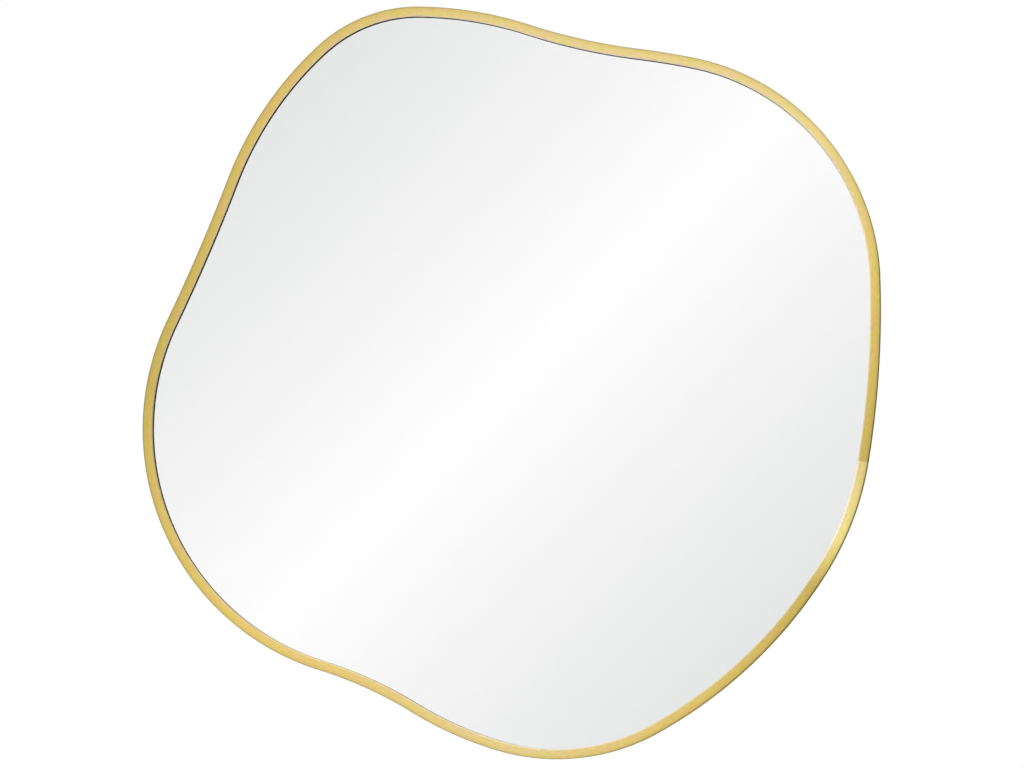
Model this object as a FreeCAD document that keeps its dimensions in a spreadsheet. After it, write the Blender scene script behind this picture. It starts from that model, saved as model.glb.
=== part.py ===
import FreeCAD, Part
import math
import os
import Sketcher

Vector = FreeCAD.Vector
Rotation = FreeCAD.Rotation
Placement = FreeCAD.Placement

# Irregular shaped wall mirror, in mm.  X runs to the right as seen from the room, Z is up, and Y runs
# from the room (negative) to the wall, whose plane is Y = 0.  The mirror's front faces -Y.

doc = FreeCAD.newDocument("IrregularMirror")
sheet = doc.addObject("Spreadsheet::Sheet", "Dimensions")


# ---------------------------------------------------------------------------------------------------
# A size is a number together with the expression that the document uses for it, so that a formula
# written once in this file places the first geometry and stays live in the document.
# ---------------------------------------------------------------------------------------------------
class Size:
    def __init__(self, value, text):
        self.value = float(value)
        self.text = text

    def __add__(self, other):
        other = size_of(other)
        return Size(self.value + other.value, "(" + self.text + " + " + other.text + ")")

    def __sub__(self, other):
        other = size_of(other)
        return Size(self.value - other.value, "(" + self.text + " - " + other.text + ")")

    def __mul__(self, other):
        other = size_of(other)
        return Size(self.value * other.value, "(" + self.text + " * " + other.text + ")")

    def __truediv__(self, other):
        other = size_of(other)
        return Size(self.value / other.value, "(" + self.text + " / " + other.text + ")")

    def __neg__(self):
        return Size(-self.value, "(0 - " + self.text + ")")


def size_of(number):
    if isinstance(number, Size):
        return number
    return Size(number, "(" + repr(float(number)) + ")")


def cosine(angle):
    return Size(math.cos(math.radians(angle.value)), "cos(" + angle.text + ")")


def sine(angle):
    return Size(math.sin(math.radians(angle.value)), "sin(" + angle.text + ")")


def root(number):
    return Size(math.sqrt(number.value), "sqrt(" + number.text + ")")


cell_row = 0


def cell(alias, number):
    """Puts one driving dimension in the sheet and returns it as a size."""
    global cell_row
    cell_row += 1
    place = "B" + str(cell_row)
    sheet.set("A" + str(cell_row), alias.replace("_", " "))
    sheet.set(place, str(number))
    sheet.setAlias(place, alias)
    return Size(number, "Dimensions." + alias)


# ---------------------------------------------------------------------------------------------------
# Driving dimensions
# ---------------------------------------------------------------------------------------------------
# The bar: an angle section, wide face to the front, bent on its outer edge.
frame_depth = cell("frame_depth", 25.0)
lip_width = cell("lip_width", 12.7)
lip_thickness = cell("lip_thickness", 2.0)
wall_thickness = cell("wall_thickness", 2.0)
inner_bevel = cell("inner_bevel", 0.9)
outer_arris = cell("outer_arris", 0.4)
seam_gap = cell("seam_gap", 0.2)
rear_gap = cell("rear_gap", 1.0)

# The whole outline: its bends are drawn at one height, and all follow the height wanted.
DRAWN_HEIGHT = 953.0
outline_height = cell("outline_height", 953.0)
outline_scale = outline_height / DRAWN_HEIGHT

# The joint in the bar: where its two ends meet, and the plate behind it.
seam_right = cell("seam_right", 451.7) * outline_scale
seam_height = cell("seam_height", -103.1) * outline_scale
seam_bearing = cell("seam_bearing", -9.4)
joiner_length = cell("joiner_length", 70.0)
joiner_thickness = cell("joiner_thickness", 1.2)
joiner_setback = cell("joiner_setback", 2.0)
joiner_bond = cell("joiner_bond", 0.15)

# What lies in the bar, front to back.
pack_clearance = cell("pack_clearance", 2.0)
gasket_width = cell("gasket_width", 8.5)
gasket_thickness = cell("gasket_thickness", 2.5)
glass_thickness = cell("glass_thickness", 4.0)
silver_thickness = cell("silver_thickness", 0.2)
film_thickness = cell("film_thickness", 0.3)
tape_width = cell("tape_width", 25.0)
tape_pitch = cell("tape_pitch", 165.0)
tape_inset = cell("tape_inset", 45.0)
tape_thickness = cell("tape_thickness", 1.0)
board_thickness = cell("board_thickness", 9.0)

# The clips that hold the pack in, and every screw on the back.
clip_width = cell("clip_width", 16.0)
clip_reach = cell("clip_reach", 20.0)
clip_thickness = cell("clip_thickness", 1.2)
clip_upstand = cell("clip_upstand", 5.0)
clip_screw_inset = cell("clip_screw_inset", 13.0)
seat_clearance = cell("seat_clearance", 0.15)
screw_radius = cell("screw_radius", 1.75)
screw_length = cell("screw_length", 9.0)
screw_point = cell("screw_point", 2.5)
screw_head_radius = cell("screw_head_radius", 3.6)
screw_head_height = cell("screw_head_height", 2.0)
recess_length = cell("recess_length", 3.8)
recess_width = cell("recess_width", 0.9)
recess_depth = cell("recess_depth", 1.2)
recess_bearing = cell("recess_bearing", 20.0)
pilot_clearance = cell("pilot_clearance", 0.05)
hole_clearance = cell("hole_clearance", 0.25)

# The two hangers.
hanger_spacing = cell("hanger_spacing", 520.0)
hanger_rise = cell("hanger_rise", 210.0)
strap_width = cell("strap_width", 16.0)
strap_length = cell("strap_length", 46.0)
strap_sheet = cell("strap_sheet", 1.0)
strap_corner = cell("strap_corner", 6.0)
strap_screw_first = cell("strap_screw_first", 23.0)
strap_screw_pitch = cell("strap_screw_pitch", 14.0)
ring_wire_radius = cell("ring_wire_radius", 1.5)
ring_clearance = cell("ring_clearance", 0.05)
ring_half_width = cell("ring_half_width", 11.5)
ring_corner = cell("ring_corner", 3.0)
ring_leg = cell("ring_leg", 4.5)
ring_tilt = cell("ring_tilt", 5.0)

# The pads that keep the back off the wall.
bumper_radius = cell("bumper_radius", 8.0)
bumper_draft = cell("bumper_draft", 1.0)
bumper_edge = cell("bumper_edge", 0.8)
bumper_inset = cell("bumper_inset", 40.0)

# ---------------------------------------------------------------------------------------------------
# The outline, as the bar is bent: run after run anticlockwise from the seam.  Each run has a bend
# radius on the outer edge and an angle that it turns through; a dip turns the other way.  Two radii
# and the last angle are whatever closes the loop, and the sketch finds them.
# ---------------------------------------------------------------------------------------------------
OUT = 1
DIP = -1


class Run:
    """One bend of the bar: its sizes, and its place in the loop."""

    def __init__(self, name, side, radius, turn):
        self.name = name
        self.side = side
        self.radius_size = None if radius is None else radius * outline_scale
        self.radius = None if radius is None else self.radius_size.value
        self.turn_is_open = turn is None
        self.turn_size = turn
        self.turn = None if turn is None else turn.value
        self.bearing = 0.0
        self.centre = (0.0, 0.0)


right_side_radius = cell("right_side_radius", 1195.0)
right_side_angle = cell("right_side_angle", 11.2)
right_shoulder_angle = cell("right_shoulder_angle", 76.4)
shoulder_lead_radius = cell("shoulder_lead_radius", 975.0)
shoulder_lead_angle = cell("shoulder_lead_angle", 4.2)
top_dip_radius = cell("top_dip_radius", 755.0)
top_dip_angle = cell("top_dip_angle", 10.8)
crown_lead_radius = cell("crown_lead_radius", 473.0)
crown_lead_angle = cell("crown_lead_angle", 17.2)
crown_radius = cell("crown_radius", 186.0)
crown_angle = cell("crown_angle", 43.4)
left_shoulder_radius = cell("left_shoulder_radius", 442.0)
left_shoulder_angle = cell("left_shoulder_angle", 26.8)
left_dip_radius = cell("left_dip_radius", 2420.0)
left_dip_angle = cell("left_dip_angle", 4.6)
left_lobe_angle = cell("left_lobe_angle", 98.4)
lower_dip_radius = cell("lower_dip_radius", 520.0)
lower_dip_angle = cell("lower_dip_angle", 14.2)
foot_lead_radius = cell("foot_lead_radius", 462.0)
foot_lead_angle = cell("foot_lead_angle", 15.0)
foot_radius = cell("foot_radius", 261.0)
foot_angle = cell("foot_angle", 45.2)
lower_right_radius = cell("lower_right_radius", 588.0)
lower_right_angle = cell("lower_right_angle", 29.0)
right_hip_radius = cell("right_hip_radius", 376.0)

runs = [
    Run("right_side", OUT, right_side_radius, right_side_angle),
    Run("right_shoulder", OUT, None, right_shoulder_angle),
    Run("shoulder_lead", OUT, shoulder_lead_radius, shoulder_lead_angle),
    Run("top_dip", DIP, top_dip_radius, top_dip_angle),
    Run("crown_lead", OUT, crown_lead_radius, crown_lead_angle),
    Run("crown", OUT, crown_radius, crown_angle),
    Run("left_shoulder", OUT, left_shoulder_radius, left_shoulder_angle),
    Run("left_dip", DIP, left_dip_radius, left_dip_angle),
    Run("left_lobe", OUT, None, left_lobe_angle),
    Run("lower_dip", DIP, lower_dip_radius, lower_dip_angle),
    Run("foot_lead", OUT, foot_lead_radius, foot_lead_angle),
    Run("foot", OUT, foot_radius, foot_angle),
    Run("lower_right", OUT, lower_right_radius, lower_right_angle),
    Run("right_hip", OUT, right_hip_radius, None),
]


def normal(degrees):
    return (math.cos(math.radians(degrees)), math.sin(math.radians(degrees)))


def close_loop(runs):
    """Gives every run its radius, turn, first bearing and centre, so that the loop closes."""
    left_over = size_of(360)
    for run in runs:
        if not run.turn_is_open:
            left_over = left_over - run.turn_size * run.side
    open_run = [run for run in runs if run.turn_is_open][0]
    open_run.turn_size = left_over * open_run.side
    open_run.turn = open_run.turn_size.value
    bearing = seam_bearing.value
    chords = []
    for run in runs:
        run.bearing = bearing
        bearing += run.side * run.turn
        first = normal(run.bearing)
        last = normal(bearing)
        chords.append((run.side * (last[0] - first[0]), run.side * (last[1] - first[1])))
    open_radius = [k for k, run in enumerate(runs) if run.radius is None]
    known = [k for k in range(len(runs)) if k not in open_radius]
    sum_x = sum(runs[k].radius * chords[k][0] for k in known)
    sum_z = sum(runs[k].radius * chords[k][1] for k in known)
    (ax, az), (bx, bz) = chords[open_radius[0]], chords[open_radius[1]]
    determinant = ax * bz - az * bx
    runs[open_radius[0]].radius = (bx * sum_z - bz * sum_x) / determinant
    runs[open_radius[1]].radius = (az * sum_x - ax * sum_z) / determinant
    x, z = seam_right.value, seam_height.value
    for run in runs:
        reach = run.side * run.radius
        first = normal(run.bearing)
        last = normal(run.bearing + run.side * run.turn)
        run.centre = (x - reach * first[0], z - reach * first[1])
        x = run.centre[0] + reach * last[0]
        z = run.centre[1] + reach * last[1]


def draw_outline(runs):
    """The outer edge of the bar as one sketch of tangent arcs in the XZ plane."""
    sketch = doc.addObject("Sketcher::SketchObject", "Outline")
    sketch.Placement = Placement(Vector(0, 0, 0), Rotation(Vector(1, 0, 0), 90))
    for run in runs:
        outward = run.bearing if run.side == OUT else run.bearing + 180.0
        ends = sorted((outward, outward + run.side * run.turn))
        circle = Part.Circle(Vector(run.centre[0], run.centre[1], 0), Vector(0, 0, 1), run.radius)
        sketch.addGeometry(Part.ArcOfCircle(circle, math.radians(ends[0]), math.radians(ends[1])), False)
    for k, run in enumerate(runs):
        following = (k + 1) % len(runs)
        leaving = 2 if run.side == OUT else 1
        arriving = 1 if runs[following].side == OUT else 2
        sketch.addConstraint(Sketcher.Constraint("Tangent", k, leaving, following, arriving))
    for k, run in enumerate(runs):
        index = sketch.addConstraint(Sketcher.Constraint("Radius", k, run.radius))
        sketch.renameConstraint(index, run.name + "_radius")
        if run.radius_size is None:
            sketch.setDriving(index, False)
        else:
            sketch.setExpression("Constraints." + run.name + "_radius", run.radius_size.text)
        if not run.turn_is_open:
            index = sketch.addConstraint(Sketcher.Constraint("Angle", k, math.radians(run.turn)))
            sketch.renameConstraint(index, run.name + "_angle")
            sketch.setExpression("Constraints." + run.name + "_angle", run.turn_size.text)
    # The seam point, and the line from it to the first centre, whose slope is the seam's bearing.
    first = runs[0]
    spoke = sketch.addGeometry(
        Part.LineSegment(
            Vector(first.centre[0], first.centre[1], 0), Vector(seam_right.value, seam_height.value, 0)
        ),
        True,
    )
    sketch.addConstraint(Sketcher.Constraint("Coincident", spoke, 1, 0, 3))
    sketch.addConstraint(Sketcher.Constraint("Coincident", spoke, 2, 0, 1))
    held = (
        ("seam_right", Sketcher.Constraint("DistanceX", -1, 1, spoke, 2, seam_right.value), seam_right),
        ("seam_height", Sketcher.Constraint("DistanceY", -1, 1, spoke, 2, seam_height.value), seam_height),
        ("seam_bearing", Sketcher.Constraint("Angle", spoke, math.radians(seam_bearing.value)), seam_bearing),
    )
    for name, constraint, size in held:
        index = sketch.addConstraint(constraint)
        sketch.renameConstraint(index, name)
        sketch.setExpression("Constraints." + name, size.text)
    # The centres are read off the sketch by whatever is placed along the bar.
    for k, run in enumerate(runs):
        for name, kind, value in (("_right", "DistanceX", run.centre[0]), ("_up", "DistanceY", run.centre[1])):
            index = sketch.addConstraint(Sketcher.Constraint(kind, -1, 1, k, 3, value))
            sketch.setDriving(index, False)
            sketch.renameConstraint(index, run.name + name)
    return sketch


close_loop(runs)
run_named = {run.name: run for run in runs}
outline = draw_outline(runs)


def read_outline(name, value):
    """A length that the outline sketch has solved, as a plain number."""
    return Size(value, "(Outline.Constraints." + name + " / 1 mm)")


def station(name, fraction, inset):
    """A point inset from the outer edge of a named run, and the bearing of the edge's outward normal."""
    bearing = seam_bearing
    for run in runs:
        if run.name == name:
            break
        bearing = bearing + run.turn_size * run.side
    bearing = bearing + run.turn_size * (run.side * fraction)
    reach = (read_outline(name + "_radius", run.radius) - inset * run.side) * run.side
    right = read_outline(name + "_right", run.centre[0]) + reach * cosine(bearing)
    up = read_outline(name + "_up", run.centre[1]) + reach * sine(bearing)
    return right, up, bearing


# ---------------------------------------------------------------------------------------------------
# Solids that follow the outline
# ---------------------------------------------------------------------------------------------------
def bind(item, **sizes):
    """Binds properties to sizes; a double underscore in a name stands for a dot."""
    for key, size in sizes.items():
        item.setExpression(key.replace("__", "."), size_of(size).text)
    return item


def turned(item, right, depth, up, bearing):
    """Places an object so that its X axis points along the bearing in the XZ plane."""
    item.Placement = Placement(Vector(0, 0, 0), Rotation(Vector(0, -1, 0), 30))
    bind(item, Placement__Base__x=right, Placement__Base__y=depth, Placement__Base__z=up)
    bind(item, Placement__Rotation__Angle=bearing)
    return item


def edge_line(name, inset, depth):
    """The outline moved in by an inset, at a depth; with no inset it is the outline's own link."""
    if inset is None:
        line = doc.addObject("App::Link", name)
        line.LinkedObject = outline
        line.LinkTransform = True
        return bind(line, Placement__Base__y=depth)
    line = doc.addObject("Part::Offset2D", name)
    line.Source = outline
    return bind(line, Value=-inset, Placement__Base__y=depth)


def slab(name, inset, front, thickness):
    """A plate with the inset outline, from its front depth towards the wall."""
    plate = doc.addObject("Part::Extrusion", name)
    plate.Base = edge_line(name + "_edge", inset, size_of(0))
    plate.DirMode = "Custom"
    plate.Dir = Vector(0, 1, 0)
    plate.Solid = True
    return bind(plate, LengthFwd=thickness, Placement__Base__y=front)


def splayed(name, front_inset, front, rear_inset, rear):
    """A plate whose edge slopes from one inset to another."""
    plate = doc.addObject("Part::Loft", name)
    plate.Sections = [
        edge_line(name + "_front", front_inset, front),
        edge_line(name + "_rear", rear_inset, rear),
    ]
    plate.Solid = True
    plate.Ruled = True
    return plate


def cut(name, base, tool):
    result = doc.addObject("Part::Cut", name)
    result.Base = base
    result.Tool = tool
    return result


def common(name, base, tool):
    result = doc.addObject("Part::Common", name)
    result.Base = base
    result.Tool = tool
    return result


def joined(name, shapes):
    result = doc.addObject("Part::MultiFuse", name)
    result.Shapes = shapes
    return result


def gathered(name, links):
    result = doc.addObject("Part::Compound", name)
    result.Links = links
    return result


def block(name, length, width, height):
    return bind(doc.addObject("Part::Box", name), Length=length, Width=width, Height=height)


front_face = -frame_depth - rear_gap
lip_back = front_face + lip_thickness
glass_front = lip_back + gasket_thickness
silver_front = glass_front + glass_thickness
film_front = silver_front + silver_thickness
tape_front = film_front + film_thickness
board_front = tape_front + tape_thickness
board_back = board_front + board_thickness
pack_inset = wall_thickness + pack_clearance

# The bar: an outer block with a fine arris, hollowed behind the lip and open in front of the glass.
bar_block = joined(
    "bar_block",
    [
        splayed("bar_arris", outer_arris, front_face, None, front_face + outer_arris),
        slab("bar_side", None, front_face + outer_arris, frame_depth - outer_arris),
    ],
)
bar_hollow = joined(
    "bar_hollow",
    [
        splayed("bar_bevel", lip_width - inner_bevel, front_face, lip_width, front_face + inner_bevel),
        slab("bar_window", lip_width, front_face + inner_bevel, lip_thickness),
        slab("bar_well", wall_thickness, lip_back, frame_depth),
    ],
)
bar_ring = cut("bar_ring", bar_block, bar_hollow)
seam_reach = lip_width + wall_thickness
seam_cutter = turned(
    block("seam_cutter", seam_reach + wall_thickness, frame_depth * 2, seam_gap),
    seam_right - seam_reach * cosine(seam_bearing) + seam_gap * sine(seam_bearing) / 2,
    front_face - wall_thickness,
    seam_height - seam_reach * sine(seam_bearing) - seam_gap * cosine(seam_bearing) / 2,
    seam_bearing,
)
frame_bar = cut("frame_bar", bar_ring, seam_cutter)

# The joiner plate is bonded to the inside of the wall, across the seam.
joiner_inset = wall_thickness + joiner_bond
joiner_front = lip_back + joiner_setback
joiner_depth = frame_depth - lip_thickness - joiner_setback * 2
joiner_band = cut(
    "joiner_band",
    slab("joiner_outer", joiner_inset, joiner_front, joiner_depth),
    slab("joiner_inner", joiner_inset + joiner_thickness, joiner_front, joiner_depth),
)
joiner_window = turned(
    block("joiner_window", seam_reach, frame_depth * 2, joiner_length),
    seam_right - seam_reach * cosine(seam_bearing) + joiner_length * sine(seam_bearing) / 2,
    front_face,
    seam_height - seam_reach * sine(seam_bearing) - joiner_length * cosine(seam_bearing) / 2,
    seam_bearing,
)
joiner_plate = common("joiner_plate", joiner_band, joiner_window)

# The pack: gasket, glass with its silver and film, tape strips, board.
lip_gasket = cut(
    "lip_gasket",
    slab("gasket_outer", pack_inset, lip_back, gasket_thickness),
    slab("gasket_inner", pack_inset + gasket_width, lip_back, gasket_thickness),
)
glass_pane = slab("glass_pane", pack_inset, glass_front, glass_thickness)
silver_layer = slab("silver_layer", pack_inset, silver_front, silver_thickness)
shatter_film = slab("shatter_film", pack_inset, film_front, film_thickness)
board_blank = slab("board_blank", pack_inset, board_front, board_thickness)
middle_right = Size(0.0, "(board_blank.Shape.CenterOfMass.x)")
middle_up = Size(0.0, "(board_blank.Shape.CenterOfMass.z)")

tape_area = slab("tape_area", pack_inset + tape_inset, tape_front, tape_thickness)
tape_blocks = []
for k in (-2, -1, 0, 1, 2):
    tape_block = block("tape_block_" + str(k + 3), tape_width, frame_depth, tape_pitch * 8)
    bind(tape_block, Placement__Base__x=middle_right + tape_pitch * k - tape_width / 2)
    bind(tape_block, Placement__Base__y=front_face, Placement__Base__z=-tape_pitch * 4)
    tape_blocks.append(tape_block)
mounting_tapes = common("mounting_tapes", tape_area, gathered("tape_blocks", tape_blocks))


# ---------------------------------------------------------------------------------------------------
# Pieces drawn in their own sketches
# ---------------------------------------------------------------------------------------------------
def new_body(name):
    return doc.addObject("PartDesign::Body", name)


def sketch_on(body, role, name):
    """A sketch on one of the body's own origin planes."""
    sketch = body.newObject("Sketcher::SketchObject", name)
    plane = [item for item in body.Origin.OriginFeatures if item.Role == role][0]
    sketch.AttachmentSupport = [(plane, "")]
    sketch.MapMode = "FlatFace"
    return sketch


def hold(sketch, constraint, size=None):
    """Adds a constraint, bound to a size if it has one."""
    index = sketch.addConstraint(constraint)
    if size is not None:
        sketch.setExpression("Constraints[" + str(index) + "]", size.text)


def hold_point(sketch, geometry, end, u, v):
    """Fixes a point of the sketch at sizes along its two axes."""
    for axis, kind, size in ((-2, "DistanceX", size_of(u)), (-1, "DistanceY", size_of(v))):
        if size.value == 0:
            hold(sketch, Sketcher.Constraint("PointOnObject", geometry, end, axis))
        else:
            hold(sketch, Sketcher.Constraint(kind, -1, 1, geometry, end, size.value), size)


def draw_polygon(sketch, corners):
    """Straight edges between corners that are each given as a pair of sizes."""
    points = [Vector(size_of(u).value, size_of(v).value, 0) for u, v in corners]
    for k, point in enumerate(points):
        sketch.addGeometry(Part.LineSegment(point, points[(k + 1) % len(points)]), False)
    for k, corner in enumerate(corners):
        hold(sketch, Sketcher.Constraint("Coincident", k, 2, (k + 1) % len(corners), 1))
        hold_point(sketch, k, 1, corner[0], corner[1])


def draw_circle(sketch, u, v, radius):
    centre = Vector(size_of(u).value, size_of(v).value, 0)
    index = sketch.addGeometry(Part.Circle(centre, Vector(0, 0, 1), radius.value), False)
    hold_point(sketch, index, 3, u, v)
    hold(sketch, Sketcher.Constraint("Radius", index, radius.value), radius)


def pad(body, sketch, name, length):
    feature = body.newObject("PartDesign::Pad", name)
    feature.Profile = sketch
    feature.SideType = "Symmetric"
    return bind(feature, Length=length)


def drill(body, sketch, name):
    feature = body.newObject("PartDesign::Pocket", name)
    feature.Profile = sketch
    feature.Type = "ThroughAll"
    feature.SideType = "Symmetric"
    return feature


def turn_about_depth(body, sketch, name):
    """Revolves a sketch on the XY plane about the Y axis."""
    feature = body.newObject("PartDesign::Revolution", name)
    feature.Profile = sketch
    feature.ReferenceAxis = (sketch, ["V_Axis"])
    feature.Angle = 360.0
    return feature


def round_edges(body, base, name, radius, wanted):
    """Rounds those edges of the base feature that the wanted test picks."""
    doc.recompute()
    edges = ["Edge" + str(k + 1) for k, edge in enumerate(base.Shape.Edges) if wanted(edge)]
    feature = body.newObject("PartDesign::Fillet", name)
    feature.Base = (base, edges)
    return bind(feature, Radius=radius)


def near(a, b):
    return abs(a - b) < 0.01


# A clip: an angle whose upstand is fixed to the bar's wall and whose tab lies on the board.
clip = new_body("clip")
clip_profile = sketch_on(clip, "XY_Plane", "clip_profile")
draw_polygon(
    clip_profile,
    [
        (0, 0),
        (0, clip_upstand),
        (-clip_thickness, clip_upstand),
        (-clip_thickness, clip_thickness),
        (-clip_reach, clip_thickness),
        (-clip_reach, 0),
    ],
)
clip_angle = pad(clip, clip_profile, "clip_angle", clip_width)
clip_bend = round_edges(
    clip,
    clip_angle,
    "clip_bend",
    clip_thickness * 0.8,
    lambda edge: near(edge.BoundBox.ZLength, clip_width.value) and near(edge.BoundBox.XMin, 0)
    and near(edge.BoundBox.YMin, 0),
)
clip_hole = sketch_on(clip, "XZ_Plane", "clip_hole")
draw_circle(clip_hole, -clip_screw_inset, 0, screw_radius + hole_clearance)
drill(clip, clip_hole, "clip_drilling")

# A screw: point down -Y, the seat of its head at Y = 0, a cross recess in the head.
screw = new_body("screw")
screw_profile = sketch_on(screw, "XY_Plane", "screw_profile")
draw_polygon(
    screw_profile,
    [
        (0, -screw_length),
        (screw_radius, screw_point - screw_length),
        (screw_radius, 0),
        (screw_head_radius, 0),
        (screw_head_radius, screw_head_height),
        (0, screw_head_height),
    ],
)
screw_turned = turn_about_depth(screw, screw_profile, "screw_turned")
round_edges(
    screw,
    screw_turned,
    "screw_dome",
    screw_head_height * 0.7,
    lambda edge: near(edge.BoundBox.YMin, screw_head_height.value)
    and near(edge.BoundBox.XLength, 2 * screw_head_radius.value),
)
recess_profile = sketch_on(screw, "XZ_Plane", "recess_profile")
bind(recess_profile, AttachmentOffset__Base__z=-screw_head_height)
long_half = recess_length / 2
short_half = recess_width / 2
draw_polygon(
    recess_profile,
    [
        (long_half, short_half),
        (short_half, short_half),
        (short_half, long_half),
        (-short_half, long_half),
        (-short_half, short_half),
        (-long_half, short_half),
        (-long_half, -short_half),
        (-short_half, -short_half),
        (-short_half, -long_half),
        (short_half, -long_half),
        (short_half, -short_half),
        (long_half, -short_half),
    ],
)
recess = screw.newObject("PartDesign::Pocket", "recess")
recess.Profile = recess_profile
recess.Reversed = True
bind(recess, Length=recess_depth)


def link_to(source, name):
    item = doc.addObject("App::Link", name)
    item.LinkedObject = source
    return item


pilots = []


def drive_screw(name, right, up, seat, bearing):
    """A screw with its head's seat at a depth, and the pilot hole that it needs in the board."""
    pilot = doc.addObject("Part::Cylinder", name + "_pilot")
    pilot.Placement = Placement(Vector(0, 0, 0), Rotation(Vector(1, 0, 0), 90))
    bind(pilot, Radius=screw_radius + pilot_clearance)
    bind(pilot, Height=screw_length - clip_thickness + pilot_clearance)
    bind(pilot, Placement__Base__x=right, Placement__Base__y=board_back, Placement__Base__z=up)
    pilots.append(pilot)
    return turned(link_to(screw, name), right, seat, up, bearing)


# The clips stand round the bar, one to each stretch of about a quarter of a metre.
CLIP_STATIONS = (
    ("right_side", 0.5),
    ("right_shoulder", 0.37),
    ("right_shoulder", 0.9),
    ("crown", 0.35),
    ("left_shoulder", 0.5),
    ("left_lobe", 0.2),
    ("left_lobe", 0.55),
    ("left_lobe", 0.87),
    ("foot", 0.15),
    ("foot", 0.85),
    ("lower_right", 0.75),
    ("right_hip", 0.6),
)
clips = []
clip_screw_set = []
for number, (name, fraction) in enumerate(CLIP_STATIONS, 1):
    # The flat back of the upstand meets the curved wall at its two edges.
    wall_radius = read_outline(name + "_radius", run_named[name].radius) - wall_thickness
    sag = wall_radius - root(wall_radius * wall_radius - clip_width * clip_width / 4)
    inset = wall_thickness + sag + seat_clearance
    right, up, bearing = station(name, fraction, inset)
    clips.append(turned(link_to(clip, "clip_" + str(number)), right, board_back, up, bearing))
    right, up, bearing = station(name, fraction, inset + clip_screw_inset)
    clip_screw_set.append(
        drive_screw("clip_screw_" + str(number), right, up, board_back + clip_thickness, bearing)
    )
retaining_clips = gathered("retaining_clips", clips)
clip_screws = gathered("clip_screws", clip_screw_set)

# A bumper: a rubber pad from the board's back to the wall.
bumper_height = -board_back
BUMPER_STATIONS = (
    ("upper_left_bumper", "crown", 0.9),
    ("upper_right_bumper", "right_shoulder", 0.48),
    ("lower_left_bumper", "left_lobe", 0.6),
    ("lower_right_bumper", "lower_right", 0.5),
)
bumpers = []
for label, name, fraction in BUMPER_STATIONS:
    bumper = new_body(label)
    bumper_profile = sketch_on(bumper, "XY_Plane", label + "_profile")
    draw_polygon(
        bumper_profile,
        [
            (0, 0),
            (bumper_radius, 0),
            (bumper_radius - bumper_draft, bumper_height - bumper_edge),
            (bumper_radius - bumper_draft - bumper_edge, bumper_height),
            (0, bumper_height),
        ],
    )
    turn_about_depth(bumper, bumper_profile, label + "_turned")
    right, up, bearing = station(name, fraction, bumper_inset)
    bumpers.append(turned(bumper, right, board_back, up, bearing))

# ---------------------------------------------------------------------------------------------------
# The hangers: a strap folded round a ring's bar, the ring lying down over the strap.
# ---------------------------------------------------------------------------------------------------
knuckle_bore = ring_wire_radius + ring_clearance
knuckle_outer = knuckle_bore + strap_sheet
ring_axis_depth = board_back + knuckle_outer


def draw_strap(sketch):
    """The folded strap from the side: two sheets below a round knuckle."""
    near_face = -knuckle_outer
    far_face = strap_sheet * 2 - knuckle_outer
    fold = root(knuckle_outer * knuckle_outer - far_face * far_face)
    a = Vector(near_face.value, 0, 0)
    b = Vector(near_face.value, -strap_length.value, 0)
    c = Vector(far_face.value, -strap_length.value, 0)
    d = Vector(far_face.value, -fold.value, 0)
    for first, second in ((a, b), (b, c), (c, d)):
        sketch.addGeometry(Part.LineSegment(first, second), False)
    circle = Part.Circle(Vector(0, 0, 0), Vector(0, 0, 1), knuckle_outer.value)
    sketch.addGeometry(Part.ArcOfCircle(circle, math.atan2(d.y, d.x), math.pi), False)
    hold(sketch, Sketcher.Constraint("Coincident", 3, 3, -1, 1))
    hold(sketch, Sketcher.Constraint("Radius", 3, knuckle_outer.value), knuckle_outer)
    hold(sketch, Sketcher.Constraint("Tangent", 3, 2, 0, 1))
    hold(sketch, Sketcher.Constraint("Coincident", 0, 2, 1, 1))
    hold(sketch, Sketcher.Constraint("Coincident", 1, 2, 2, 1))
    hold(sketch, Sketcher.Constraint("Coincident", 2, 2, 3, 1))
    hold(sketch, Sketcher.Constraint("Vertical", 0))
    hold(sketch, Sketcher.Constraint("Horizontal", 1))
    hold(sketch, Sketcher.Constraint("Vertical", 2))
    hold(sketch, Sketcher.Constraint("DistanceY", 0, 2, -1, 1, strap_length.value), strap_length)
    hold(sketch, Sketcher.Constraint("DistanceX", 1, 1, 1, 2, 2 * strap_sheet.value), strap_sheet * 2)
    draw_circle(sketch, 0, 0, knuckle_bore)


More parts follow.
